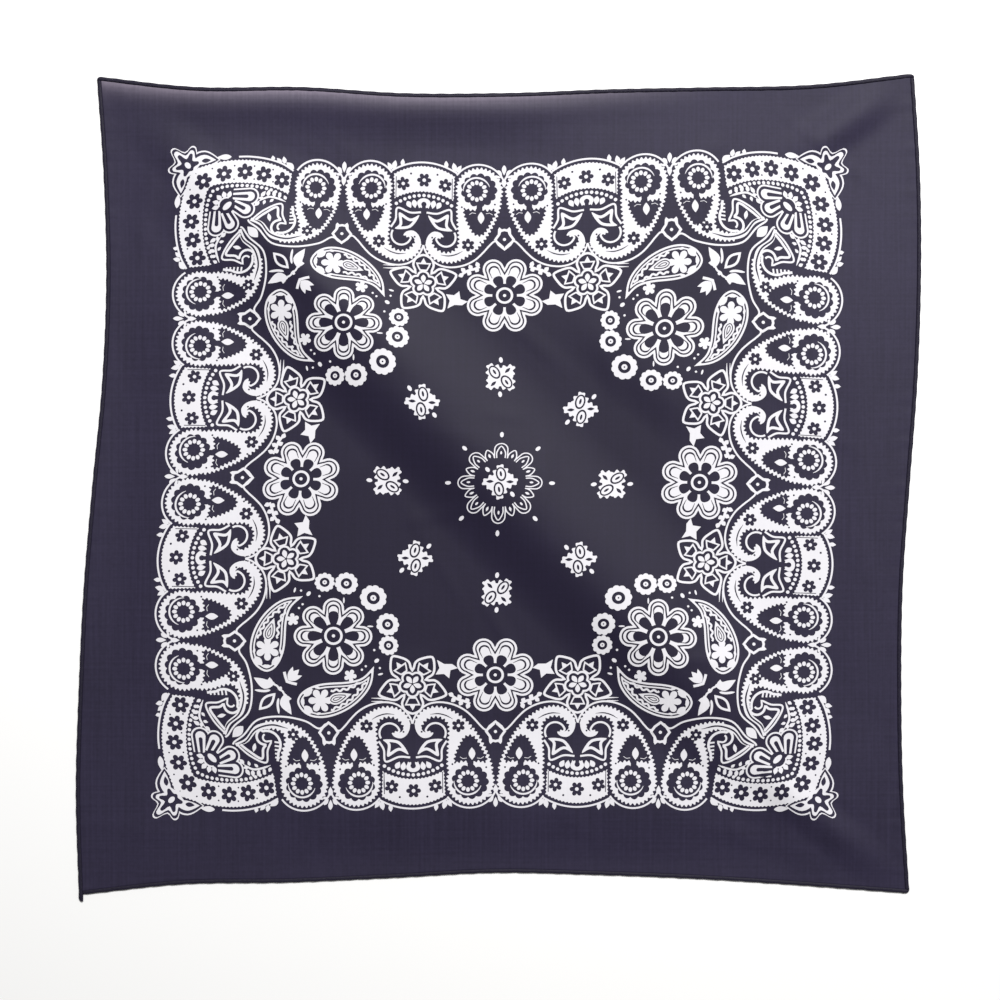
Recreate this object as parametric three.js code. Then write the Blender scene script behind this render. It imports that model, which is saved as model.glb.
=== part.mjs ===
// A square cotton bandana, laid out face up on a flat surface.
// The cloth is one printed square. Its four edges are rolled into narrow hems.
// Its corners have been pulled outwards, so the edges bow and soft ridges run between the corners.
// Millimetres, +Z up, +Y towards the top of the design. The cloth lies on z = 0.
import * as THREE from "three";

// Cloth and hems
const SIDE = 540; // one side of the finished square, hems included
const CLOTH = 1; // wall that stands for the cotton
const HEM_WIDTH = 2.8;
const HEM_THICK = 1.7;
const HEM_EASE = 0.5; // how far the roll's edges are rounded in its section
const END_RADIUS = 2.2; // how a hem's ends are rounded, at the corners of the cloth
const END_DEPTH = 0.6; // the share of that radius that is taken off the hem's width
const END_STEPS = [0, 0.15, 0.5, 1]; // where the rounding is cut, as shares of the radius
const SEAM_GAP = 0.3;
const TAIL = 4.6; // the west hem runs on past the south edge by this
const CELLS = 44; // of the panel's grid, along each side

// Where the four corners of the square lie
const CORNER = {
  northWest: [-267, 272],
  northEast: [276, 274],
  southEast: [273, -271],
  southWest: [-279, -272],
};

// How far each edge bows towards the middle, at eighths of its length.
// North and south run from west to east, west and east from south to north.
const BOW = {
  north: [0, 7.6, 7.8, 12.2, 12.2, 9.8, 8.7, 7.3, 0],
  south: [0, 7.0, 8.0, 10.9, 14.2, 12.7, 9.8, 5.3, 0],
  west: [0, -3.5, -3.1, -1.3, 2.9, 7.9, 9.2, 6.1, 0],
  east: [0, 4.5, 6.1, 5.5, 1.2, -3.5, -5.5, -4.5, 0],
};

// Soft ridges. Each has its crest's two ends, its rise, the width of its slope to the right
// and to the left of the way along it, and the share of its length that each end tapers over.
const RIDGES = [
  { name: "long diagonal", from: [-252, 253], to: [266, -265], rise: 9, right: 50, left: 70, taper: 0.3 },
  { name: "north-west pull", from: [-258, 262], to: [-36, 60], rise: 2.6, right: 22, left: 24, taper: 0.35 },
  { name: "south-east pull", from: [268, -267], to: [150, -168], rise: 3, right: 16, left: 18, taper: 0.4 },
  { name: "north-east pull", from: [270, 268], to: [186, 210], rise: 3, right: 20, left: 18, taper: 0.4 },
  { name: "north roll", from: [-259, 262], to: [86, 249], rise: 3.2, right: 32, left: 15, taper: 0.3 },
  { name: "south roll", from: [-210, -209], to: [216, -212], rise: 2.8, right: 42, left: 50, taper: 0.3 },
  { name: "west roll", from: [-205, 200], to: [-219, -205], rise: 2.6, right: 44, left: 56, taper: 0.3 },
  { name: "east roll", from: [216, 190], to: [217, -190], rise: 1.8, right: 50, left: 28, taper: 0.3 },
  { name: "north-east swell", from: [36, 134], to: [160, 18], rise: 2.4, right: 30, left: 58, taper: 0.45 },
  { name: "south-west swell", from: [-204, -114], to: [-100, -214], rise: 1.6, right: 30, left: 32, taper: 0.45 },
];

const clamp01 = (x) => Math.min(1, Math.max(0, x));
const smooth = (x) => clamp01(x) ** 2 * (3 - 2 * clamp01(x));
const hump = (x) => (Math.abs(x) < 1 ? 0.5 + 0.5 * Math.cos(Math.PI * x) : 0);
const between = (p, q, f) => [p[0] + (q[0] - p[0]) * f, p[1] + (q[1] - p[1]) * f];

// A smooth curve through evenly spaced values, read at a share of its length.
function through(values, share) {
  const last = values.length - 1;
  const at = clamp01(share) * last;
  const i = Math.min(Math.floor(at), last - 1);
  const f = at - i;
  const before = i > 0 ? values[i - 1] : 2 * values[0] - values[1];
  const after = i + 2 <= last ? values[i + 2] : 2 * values[last] - values[last - 1];
  const [p, q] = [values[i], values[i + 1]];
  return p + 0.5 * f * (q - before + f * (2 * before - 5 * p + 4 * q - after + f * (3 * (p - q) + after - before)));
}

// A point of the cut cloth, from -SIDE/2 to SIDE/2 each way, to where it lies in plan.
function plan(across, up) {
  const s = across / SIDE + 0.5;
  const t = up / SIDE + 0.5;
  const { northWest, northEast, southEast, southWest } = CORNER;
  const north = between(northWest, northEast, s);
  const south = between(southWest, southEast, s);
  const west = between(southWest, northWest, t);
  const east = between(southEast, northEast, t);
  north[1] -= through(BOW.north, s);
  south[1] += through(BOW.south, s);
  west[0] += through(BOW.west, t);
  east[0] -= through(BOW.east, t);
  const rows = between(south, north, t);
  const columns = between(west, east, s);
  const straight = between(between(southWest, southEast, s), between(northWest, northEast, s), t);
  return [rows[0] + columns[0] - straight[0], rows[1] + columns[1] - straight[1]];
}

// The height of the cloth's underside above the surface, at a point in plan.
function lift(x, y) {
  let height = 0;
  for (const { from, to, rise, right, left, taper } of RIDGES) {
    const length = Math.hypot(to[0] - from[0], to[1] - from[1]);
    const way = [(to[0] - from[0]) / length, (to[1] - from[1]) / length];
    const along = ((x - from[0]) * way[0] + (y - from[1]) * way[1]) / length;
    const toRight = (x - from[0]) * way[1] - (y - from[1]) * way[0];
    const ends = smooth(along / taper) * smooth((1 - along) / taper);
    height += rise * ends * hump(toRight / (toRight > 0 ? right : left));
  }
  return height;
}

// A point of the cloth at a height over its underside.
function place(across, up, over) {
  const [x, y] = plan(across, up);
  return new THREE.Vector3(x, y, lift(x, y) + over);
}

// Closes a row of rings with the same number of points into a solid.
function loft(rings) {
  const size = rings[0].length;
  const points = rings.flat();
  const faces = [];
  for (let r = 0; r + 1 < rings.length; r++) {
    for (let i = 0; i < size; i++) {
      const j = (i + 1) % size;
      const [a, b, c, d] = [r * size + i, r * size + j, (r + 1) * size + j, (r + 1) * size + i];
      faces.push([a, b, c], [a, c, d]);
    }
  }
  const end = (rings.length - 1) * size;
  for (let i = 1; i + 1 < size; i++) {
    faces.push([0, i + 1, i], [end, end + i, end + i + 1]);
  }
  return solid(points, faces);
}

// A geometry from points and triangles, turned to face out.
function solid(points, faces) {
  const volume = faces.reduce((sum, [a, b, c]) => sum + points[a].dot(points[b].clone().cross(points[c])), 0);
  const index = faces.flatMap(([a, b, c]) => (volume < 0 ? [a, c, b] : [a, b, c]));
  const geometry = new THREE.BufferGeometry().setFromPoints(points);
  geometry.setIndex(index);
  geometry.computeVertexNormals();
  return geometry;
}

// Even stations along the panel, from one of its edges to the other.
const PANEL_HALF = SIDE / 2 - HEM_WIDTH - SEAM_GAP;
const stations = Array.from({ length: CELLS + 1 }, (_, i) => -PANEL_HALF + (2 * PANEL_HALF * i) / CELLS);

// The printed square inside its hems: an upper and a lower skin joined round the rim.
function panel() {
  const row = CELLS + 1;
  const skin = row * row;
  const points = [0, CLOTH].flatMap((over) => stations.flatMap((up) => stations.map((across) => place(across, up, over))));
  const faces = [];
  for (let j = 0; j < CELLS; j++) {
    for (let i = 0; i < CELLS; i++) {
      const [a, b, c, d] = [j * row + i, j * row + i + 1, (j + 1) * row + i + 1, (j + 1) * row + i];
      faces.push([a, d, b], [b, d, c]);
      faces.push([skin + a, skin + b, skin + d], [skin + b, skin + c, skin + d]);
    }
  }
  const rim = [];
  for (let i = 0; i < CELLS; i++) rim.push(i);
  for (let j = 0; j < CELLS; j++) rim.push(j * row + CELLS);
  for (let i = CELLS; i > 0; i--) rim.push(CELLS * row + i);
  for (let j = CELLS; j > 0; j--) rim.push(j * row);
  rim.forEach((a, k) => {
    const b = rim[(k + 1) % rim.length];
    faces.push([a, b, skin + b], [a, skin + b, skin + a]);
  });
  return solid(points, faces);
}

// The section of a rolled hem: how far out from its seam, and how high, round the roll.
function rollSection(width) {
  return [
    [0, 0],
    [width - HEM_EASE, 0],
    [width, HEM_EASE],
    [width, HEM_THICK - HEM_EASE],
    [width - HEM_EASE, HEM_THICK],
    [HEM_EASE, HEM_THICK],
    [0, HEM_THICK - HEM_EASE],
  ];
}

// A hem between two places along its edge. `at` turns a place along the edge and
// a distance out from the seam into a point of the cut cloth.
function hem(first, last, at) {
  const rounds = END_STEPS.map((f) => f * END_RADIUS);
  const inner = stations.filter((s) => s > first + 2 * END_RADIUS && s < last - 2 * END_RADIUS);
  const run = [...rounds.map((r) => first + r), ...inner, ...rounds.map((r) => last - r).reverse()];
  const rings = run.map((s) => {
    const fromEnd = Math.min(s - first, last - s, END_RADIUS);
    const roundedOff = END_RADIUS - Math.sqrt(END_RADIUS ** 2 - (END_RADIUS - fromEnd) ** 2);
    const width = HEM_WIDTH - END_DEPTH * roundedOff;
    return rollSection(width).map(([out, over]) => place(...at(s, out), over));
  });
  return loft(rings);
}

const HALF = SIDE / 2;
const SEAM = HALF - HEM_WIDTH; // where a hem meets the panel
const BUTT = SEAM - SEAM_GAP; // where a hem stops short of the one across its end

const COTTON = { color: 0x2b2738, roughness: 0.92, metalness: 0 };
const HEMMED = { color: 0x221f2e, roughness: 0.9, metalness: 0 };

function piece(name, geometry, finish) {
  const mesh = new THREE.Mesh(geometry, new THREE.MeshStandardMaterial(finish));
  mesh.name = name;
  return mesh;
}

const bandana = new THREE.Group();
bandana.add(
  piece("panel", panel(), COTTON),
  piece("hem_north", hem(-HALF, HALF, (s, out) => [s, SEAM + out]), HEMMED),
  piece("hem_south", hem(-BUTT, HALF, (s, out) => [s, -SEAM - out]), HEMMED),
  piece("hem_west", hem(-HALF - TAIL, BUTT, (s, out) => [-SEAM - out, s]), HEMMED),
  piece("hem_east", hem(-BUTT, BUTT, (s, out) => [SEAM + out, s]), HEMMED),
);

// The origin is the middle of the whole cloth's box, on the surface it lies on.
const box = new THREE.Box3().setFromObject(bandana);
const middle = box.getCenter(new THREE.Vector3());
bandana.position.set(-middle.x, -middle.y, 0);

export default bandana;
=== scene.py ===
"""A square cotton bandana with rolled hems, laid out face up on a pale surface."""
import cmath
from math import ceil, cos, degrees, pi, radians, sin

import bpy
import numpy as np
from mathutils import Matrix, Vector
from mathutils.geometry import delaunay_2d_cdt


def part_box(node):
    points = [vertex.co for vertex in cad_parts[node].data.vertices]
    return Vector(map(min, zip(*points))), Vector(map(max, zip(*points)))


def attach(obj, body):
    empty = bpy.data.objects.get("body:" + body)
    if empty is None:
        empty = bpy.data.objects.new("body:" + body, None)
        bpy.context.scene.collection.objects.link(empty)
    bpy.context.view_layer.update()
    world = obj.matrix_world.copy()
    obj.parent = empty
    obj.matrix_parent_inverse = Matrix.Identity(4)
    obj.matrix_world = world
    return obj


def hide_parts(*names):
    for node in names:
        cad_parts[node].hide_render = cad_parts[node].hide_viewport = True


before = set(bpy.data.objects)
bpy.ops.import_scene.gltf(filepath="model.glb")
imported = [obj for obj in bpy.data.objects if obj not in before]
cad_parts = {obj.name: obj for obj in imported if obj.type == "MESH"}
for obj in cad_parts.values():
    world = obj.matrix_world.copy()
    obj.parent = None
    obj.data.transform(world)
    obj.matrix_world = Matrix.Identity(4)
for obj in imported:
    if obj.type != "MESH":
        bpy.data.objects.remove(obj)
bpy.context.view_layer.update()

MM = 0.001

# The cloth, in millimetres, as it is in the part's source
SIDE = 540.0
HALF = SIDE / 2
HEM_WIDTH = 2.8
HEM_THICK = 1.7
SEAM_GAP = 0.3
TAIL = 4.6
SEAM = HALF - HEM_WIDTH
BUTT = SEAM - SEAM_GAP
# Its corners in plan: north-west, north-east, south-east and south-west
CORNERS = ((-267, 272), (276, 274), (273, -271), (-279, -272))
# How far each edge bows towards the middle. North and south run east, west and east run north.
BOWS = {
    "north": (0, 7.6, 7.8, 12.2, 12.2, 9.8, 8.7, 7.3, 0),
    "south": (0, 7.0, 8.0, 10.9, 14.2, 12.7, 9.8, 5.3, 0),
    "west": (0, -3.5, -3.1, -1.3, 2.9, 7.9, 9.2, 6.1, 0),
    "east": (0, 4.5, 6.1, 5.5, 1.2, -3.5, -5.5, -4.5, 0),
}
# Soft ridges: the crest's two ends, its rise, the widths of its right and left slopes, and its taper
RIDGES = (
    ((-252, 253), (266, -265), 9.0, 50, 70, 0.30),
    ((-258, 262), (-36, 60), 2.6, 22, 24, 0.35),
    ((268, -267), (150, -168), 3.0, 16, 18, 0.40),
    ((270, 268), (186, 210), 3.0, 20, 18, 0.40),
    ((-259, 262), (86, 249), 3.2, 32, 15, 0.30),
    ((-210, -209), (216, -212), 2.8, 42, 50, 0.30),
    ((-205, 200), (-219, -205), 2.6, 44, 56, 0.30),
    ((216, 190), (217, -190), 1.8, 50, 28, 0.30),
    ((36, 134), (160, 18), 2.4, 30, 58, 0.45),
    ((-204, -114), (-100, -214), 1.6, 30, 32, 0.45),
)

# The print, whose square is drawn on its own axes and lies a little skewed on the cloth
PRINT_SIDE = 400.0
PRINT_CORNERS = ((-200.5, 206.5), (215.5, 208), (207, -204.5), (-213, -205.5))
PRINT_BOWS = {
    "north": (0, -1.5, 1, 3.5, -1.5, -5.5, 0),
    "south": (0, -1, 0, 1, 1, -1, 0),
    "west": (0, -6.5, -8.5, -5.5, -2.5, -3.5, 0),
    "east": (0, -2.5, -1.5, -2.5, -3, -4.5, 0),
}
PRINT_SLIPS = {
    "north": (0, -2.5, -4, -1.5, 0),
    "south": (0, 0, 1, 0.5, 0),
    "west": (0, 3.5, 5.5, 4, 0),
    "east": (0, -1, -3, -3, 0),
}
PRINT_MIDDLE = (1.5, -0.5)
# Where the cloth is drawn a little aside inside the border: place, pull and reach, in the print's own square
PULLS = (
    ((96, 96), (-1.5, -2), 62),
    ((-84, 84), (-0.5, 2), 60),
    ((88, -88), (0.5, 1.5), 58),
    ((-96, -96), (1, 1), 62),
    ((200, 200), (-2.5, -2), 60),
    ((-200, -200), (1.5, 2.5), 60),
    ((200, -200), (-1, 2), 60),
    ((-110, 190), (-0.5, -2.5), 42),
    ((0, 0), (0, 2), 46),
)

# What the eye sees of the cloth: thinner than the solid that stands for it
CLOTH = 0.6
PRINT_OVER = 0.10
# How far the square runs into its hems, and how far apart its points lie
TUCK = 0.9
CELL = 3.0
# The small creases and the gathers beside the hems
CREASE_COUNT = 64
CREASE_SEED = 12
CREASE_TAPER = 0.45
PUCKER_SEED = 5


def between(before, p, q, after, share):
    """The point at a share of the way from p to q, on a smooth curve through all four."""
    bend = 2 * before - 5 * p + 4 * q - after + share * (3 * (p - q) + after - before)
    return p + 0.5 * share * (q - before + share * bend)


def through(values, share):
    """A smooth curve through evenly spaced values, read at shares of its length."""
    last = len(values) - 1
    at = np.clip(share, 0, 1) * last
    i = np.minimum(at.astype(int), last - 1)
    padded = np.array([2 * values[0] - values[1], *values, 2 * values[-1] - values[-2]], float)
    return between(*(padded[i + k] for k in range(4)), at - i)


def spread(s, t, corners, bows, slips=None, middle=(0, 0)):
    """Where a share across and up of a four-cornered patch lies in plan, between its bowed edges."""
    nw, ne, se, sw = (np.array(at, float) for at in corners)

    def line(a, b, share):
        return a[:, None] + (b - a)[:, None] * share

    def slip(side, share):
        return through(slips[side], share) if slips else 0

    north, south, west, east = line(nw, ne, s), line(sw, se, s), line(sw, nw, t), line(se, ne, t)
    north += np.array([s * 0 + slip("north", s), -through(bows["north"], s)])
    south += np.array([s * 0 + slip("south", s), through(bows["south"], s)])
    west += np.array([through(bows["west"], t), t * 0 + slip("west", t)])
    east += np.array([-through(bows["east"], t), t * 0 + slip("east", t)])
    straight = line(sw, se, s) * (1 - t) + line(nw, ne, s) * t
    rise = 16 * s * (1 - s) * t * (1 - t) * ((s > 0) & (s < 1) & (t > 0) & (t < 1))
    x, y = south * (1 - t) + north * t + west * (1 - s) + east * s - straight
    return x + middle[0] * rise, y + middle[1] * rise


def plan(across, up):
    """A point of the cut cloth, from -HALF to HALF each way, to where it lies in plan."""
    return spread(across / SIDE + 0.5, up / SIDE + 0.5, CORNERS, BOWS)


def plan_of_print(x, y):
    """A point of the print's own square to where it lies in plan."""
    over, up = x * 0, y * 0
    for (at_x, at_y), (pull_x, pull_y), reach in PULLS:
        near = hump(np.hypot(x - at_x, y - at_y) / reach)
        over, up = over + pull_x * near, up + pull_y * near
    s, t = (x + over) / PRINT_SIDE + 0.5, (y + up) / PRINT_SIDE + 0.5
    return spread(s, t, PRINT_CORNERS, PRINT_BOWS, PRINT_SLIPS, PRINT_MIDDLE)


def ease(x):
    """A soft step from 0 to 1."""
    x = np.clip(x, 0, 1)
    return x * x * (3 - 2 * x)


def hump(x):
    """A soft bump that is 1 at 0 and gone at 1 either way."""
    return np.where(np.abs(x) < 1, 0.5 + 0.5 * np.cos(pi * x), 0)


def ridge(x, y, start, end, rise, right, left, taper):
    """One soft ridge's height over a point in plan."""
    dx, dy = end[0] - start[0], end[1] - start[1]
    length = np.hypot(dx, dy)
    dx, dy = dx / length, dy / length
    along = ((x - start[0]) * dx + (y - start[1]) * dy) / length
    side = (x - start[0]) * dy - (y - start[1]) * dx
    ends = ease(along / taper) * ease((1 - along) / taper)
    return rise * ends * hump(side / np.where(side > 0, right, left))


def lift(x, y):
    """The height of the cloth's underside above the surface."""
    return sum(ridge(x, y, *row) for row in RIDGES)


def small_creases():
    """Short soft creases, most of them along the way that the corners pull."""
    draw = np.random.RandomState(CREASE_SEED)
    rows = []
    for _ in range(CREASE_COUNT):
        x, y = draw.uniform(-235, 235, 2)
        turn = draw.choice([-45, -45, 45, 0, 90]) + draw.uniform(-22, 22)
        reach = draw.uniform(18, 60)
        width = draw.uniform(6, 13)
        rise = draw.uniform(0.12, 0.4)
        way = cmath.rect(reach, radians(turn))
        start, end = (x - way.real, y - way.imag), (x + way.real, y + way.imag)
        rows.append((start, end, rise, width, width * 1.3, CREASE_TAPER))
    return rows


CREASES = small_creases()


def face_height(x, y):
    """The height of the cloth's printed face."""
    return lift(x, y) + CLOTH + sum(ridge(x, y, *row) for row in CREASES)


def square_grid(steps):
    """Every pair of two steps, across and up."""
    return (grid.ravel() for grid in np.meshgrid(steps, steps))


def middle_of_cad():
    """How far the part's source moved the cloth to centre it, read from the panel's own box."""
    x, y = plan(*square_grid(np.linspace(-BUTT, BUTT, 45)))
    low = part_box("panel")[0]
    return low[0] / MM - x.min(), low[1] / MM - y.min()


SHIFT = middle_of_cad()


def added(name, data):
    """A new object in the scene, at the origin."""
    made = bpy.data.objects.new(name, data)
    bpy.context.collection.objects.link(made)
    return made


def build(name, points, faces, material):
    """A smooth mesh object from millimetre points before the centring."""
    points = np.asarray(points, float) + (*SHIFT, 0)
    mesh = bpy.data.meshes.new(name)
    mesh.from_pydata((points * MM).tolist(), [], faces)
    mesh.validate()
    mesh.polygons.foreach_set("use_smooth", [True] * len(mesh.polygons))
    mesh.materials.append(material)
    mesh.update()
    return added(name, mesh)


# The print is drawn as shapes in painter's order, with points as complex numbers

INK, BARE = 1, 0
TOOTH = (0.5, 1, 1, 0.5, 0, 0)
SCALLOP = (0, 0.55, 0.85, 1, 0.85, 0.55)


def oval(width, height=None, count=16, at=0, turn=0):
    """An ellipse's points, anticlockwise."""
    a, b = width / 2, (height or width) / 2
    spin = cmath.rect(1, radians(turn))
    angles = [2 * pi * i / count for i in range(count)]
    return [at + spin * complex(a * cos(angle), b * sin(angle)) for angle in angles]


def arc(centre, radius, start, end, step=8):
    """Points along a circle, angles in degrees."""
    count = max(2, ceil(abs(end - start) / step))
    return [centre + cmath.rect(radius, radians(start + (end - start) * i / count)) for i in range(count + 1)]


def dots(spots, width, height=None, count=6, ink=BARE, turn=0):
    """An oval at each of some spots."""
    return [(ink, oval(width, height, count, at, turn)) for at in spots]


def opposite(p, axis):
    """A point's mirror image across an upright axis."""
    return complex(2 * axis - p.real, p.imag)


def arch(left, top, step=8):
    """An arc over the arch's axis, from a point on its left through a height to the mirror image."""
    top, right = complex(ARCH_AXIS, top), opposite(left, ARCH_AXIS)
    half, rise = abs(right - left) / 2, abs(top - (left + right) / 2)
    radius = (half**2 + rise**2) / (2 * rise)
    centre = top + ((left + right) / 2 - top) / rise * radius
    start, end = (degrees(cmath.phase(foot - centre)) for foot in (left, right))
    return arc(centre, radius, start, end, step)


def smooth(points, closed=False, steps=5):
    """A smooth curve through a few points."""
    if closed:
        padded = points[-1:] + points + points[:2]
    else:
        padded = [2 * points[0] - points[1]] + points + [2 * points[-1] - points[-2]]
    curve = [between(*padded[i:i + 4], k / steps) for i in range(len(padded) - 3) for k in range(steps)]
    return curve if closed else curve + [points[-1]]


def mirrored(points, axis):
    """Points and their mirror image across an upright axis, as one closed outline."""
    return points + [opposite(p, axis) for p in reversed(points) if abs(p.real - axis) > 1e-6]


def length_of(points):
    """A line's length."""
    return sum(abs(b - a) for a, b in zip(points, points[1:]))


def at_shares(points, shares):
    """The points that lie at some shares of a line's length."""
    lengths = [abs(b - a) for a, b in zip(points, points[1:])]
    total = sum(lengths)
    result, k, passed = [], 0, 0.0
    for share in shares:
        while k < len(lengths) - 1 and passed + lengths[k] < total * share:
            passed += lengths[k]
            k += 1
        result.append(points[k] + (points[k + 1] - points[k]) * (total * share - passed) / (lengths[k] or 1))
    return result


def evenly(points, spacing, closed):
    """The same line with its points about that far apart."""
    whole = points + points[:1] if closed else points
    count = max(3, round(length_of(whole) / spacing))
    return at_shares(whole, [i / count for i in range(count if closed else count + 1)])


def outward(points, closed=True):
    """Unit vectors to the right of the way along a line. Round an anticlockwise outline they point out."""
    n = len(points)
    result = []
    for i in range(n):
        a = points[i - 1] if closed or i else points[0]
        b = points[(i + 1) % n] if closed or i + 1 < n else points[-1]
        way = b - a
        result.append(way / (abs(way) or 1) * -1j)
    return result


def area(points):
    """An outline's area, below 0 if it runs clockwise."""
    return sum((a.conjugate() * b).imag for a, b in zip(points, points[1:] + points[:1])) / 2


def anticlockwise(points):
    return points if area(points) > 0 else points[::-1]


def waved(points, wave, depth, pitch):
    """An outline whose edge repeats a wave: shares of the depth, at even steps round it."""
    points = anticlockwise(points)
    length = length_of(points + points[:1])
    fine = evenly(points, length / (max(3, round(length / pitch)) * len(wave)), True)
    return [p + v * depth * (wave[i % len(wave)] - 0.5) for i, (p, v) in enumerate(zip(fine, outward(fine)))]


def toothed(points, depth, pitch):
    return waved(points, TOOTH, depth, pitch)


def scalloped(points, depth, pitch):
    return waved(points, SCALLOP, depth, pitch)


def inset(points, distance):
    """An outline moved in by a distance, without the points that would cross over."""
    points = anticlockwise(points)
    n = len(points)
    moved = []
    for i in range(n):
        a, p, b = points[i - 1], points[i], points[(i + 1) % n]
        into, out = (p - a) / (abs(p - a) or 1), (b - p) / (abs(b - p) or 1)
        way = into + out
        if abs(way) < 0.2:
            continue
        way /= abs(way)
        stretch = max((way.conjugate() * out).real, 0.5)
        moved.append(p + way * 1j * distance / stretch)
    return [q for q in moved
            if min(to_segment(q, points[i - 1], points[i]) for i in range(n)) > 0.96 * distance]


def to_segment(p, a, b):
    """A point's distance from a straight line between two others."""
    way = b - a
    f = ((p - a) * way.conjugate()).real / (abs(way) ** 2 or 1)
    return abs(p - a - way * min(1, max(0, f)))


def nest(points, *widths):
    """An outline filled, then bared and filled again inside itself, ring by ring."""
    shapes, depth, ink = [(INK, anticlockwise(points))], 0, INK
    for width in widths:
        depth += width
        ink = 1 - ink
        shapes.append((ink, inset(points, depth)))
    return shapes


def line(points, width, ink=INK, closed=False, taper=0.0):
    """A line of one width, or thinned over that share of its length at both ends."""
    sides = outward(points, closed)
    n = len(points)
    halves = []
    for i in range(n):
        along = i / (n - 1)
        ends = min(along, 1 - along) / taper if taper and not closed else 1
        halves.append(width / 2 * (1 if ends >= 1 else 0.25 + 0.75 * ends))
    left = [p - v * h for p, v, h in zip(points, sides, halves)]
    right = [p + v * h for p, v, h in zip(points, sides, halves)]
    count = n if closed else n - 1
    return [(ink, [left[i], right[i], right[(i + 1) % n], left[(i + 1) % n]]) for i in range(count)]


def leaf(spine, width, fullness=1.0, count=10, ink=INK):
    """A leaf along a spine. Fullness 1 points both ends, and less of it rounds the start as a drop's."""
    spine = at_shares(spine, [(i / count) ** (1 / fullness) for i in range(count + 1)])
    sides = outward(spine, False)
    halves = [width / 2 * sin(pi * i / count) for i in range(count + 1)]
    right = [p + v * h for p, v, h in zip(spine, sides, halves)]
    left = [p - v * h for p, v, h in zip(spine, sides, halves)]
    return (ink, right[:-1] + left[:0:-1])


def rosette(petals, inner, outer, at=0, turn=90, blunt=0.6, ink=INK, per_petal=6):
    """A flower's outline whose petals swing between two radii."""
    points = []
    for i in range(petals * per_petal):
        angle = 2 * pi * i / (petals * per_petal)
        swing = abs(cos(petals * angle / 2)) ** blunt
        points.append(at + cmath.rect(inner + (outer - inner) * swing, angle + radians(turn)))
    return (ink, points)


def placed(shapes, at=0, turn=0, flip=False):
    """Shapes mirrored left to right if asked, turned and moved."""
    spin = cmath.rect(1, radians(turn))
    return [(ink, [at + spin * (-p.conjugate() if flip else p) for p in points]) for ink, points in shapes]


def flip_about(shapes, axis):
    """Shapes mirrored across an upright axis."""
    return [(ink, [opposite(p, axis) for p in points]) for ink, points in shapes]


def both_sides(shapes, axis):
    """Shapes and their mirror image across an upright axis."""
    return shapes + flip_about(shapes, axis)


def across_diagonal(shapes):
    """Shapes and their mirror image across the diagonal."""
    return shapes + [(ink, [complex(p.imag, p.real) for p in points]) for ink, points in shapes]


def petal_outline(length, width, base, count=14):
    """A blunt petal that stands on its base at the origin and points along +x."""
    angles = [pi * (i / count - 0.5) for i in range(count + 1)]
    tip = [complex(length - width / 2 + width / 2 * cos(angle), width / 2 * sin(angle)) for angle in angles]
    return [complex(0, -base / 2)] + tip + [complex(0, base / 2)]


# Places in the print, in millimetres from its middle. The border is drawn on its upper side.
def fan(root, rows, fullness, count):
    """Leaves round one point, each by its turn, how far off it starts and ends, and its width."""
    shapes = []
    for turn, start, end, width in rows:
        way = cmath.rect(1, radians(turn))
        shapes.append(leaf([root + way * start, root + way * end], width, fullness, count))
    return shapes


def twig_leaves(rows, fullness):
    """Small leaves, each by its middle, turn, length and width."""
    shapes = []
    for at, turn, length, width in rows:
        half = cmath.rect(length / 2, radians(turn))
        shapes.append(leaf([at - half, at + half], width, fullness, 6))
    return shapes


ARCH_AXIS = 51.4
GAP_AXIS = 103.3
EYES = (17.4 + 192j, 121.2 + 192j)
OUTER_LINE = 1.15


def navy_flower(at, radius, turn=90):
    """A small bare flower with an inked heart."""
    return [rosette(6, radius * 0.6, radius, at, turn, 0.8, BARE), (INK, oval(radius * 0.52, count=8, at=at))]


def paisley_head():
    """The eye and the thistle, bared in a paisley's white body. The eye is at the origin."""
    shapes = [(BARE, scalloped(oval(22.2, 21, 40, at=-1.4 + 0.6j), 1.5, 5.2))]
    shapes += line(arc(0, 8.7, -2, 160, 9), 1.15, taper=0.25)
    for i in range(12):
        shapes += dots([cmath.rect(5.5, 2 * pi * i / 12)], 3.1, 2.5, 8, INK, 30 * i)
    shapes.append((BARE, oval(7.2, count=18)))
    neck = [-3.4 - 8j, 0.2 - 8j, 0.1 - 13j, -3.6 - 13j]
    crown = [-2.0 - 11.6j, -6.5 - 12.6j, -11.2 - 11.8j, -11.6 - 15.5j, -9.4 - 19.5j, -7.2 - 24j, -4.4 - 28j,
             -1 - 29.2j, 2.4 - 27.6j, 4.8 - 23.6j, 7.0 - 19j, 8.2 - 15j, 8.0 - 11.6j, 3.0 - 12.6j]
    shapes += [(BARE, neck), (BARE, toothed(smooth(crown, True, 3), 1.2, 2.7))]
    shapes.append(leaf([-2.6 - 21.4j, -2.7 - 13.4j], 4.2, 1.0, 8))
    for side in (-1, 1):
        tick = [complex(-2.6 + side * out, up) for out, up in ((3.2, -14.6), (5.6, -14.2), (7.4, -15.4))]
        shapes += line(tick, 0.35)
    return shapes


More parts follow.
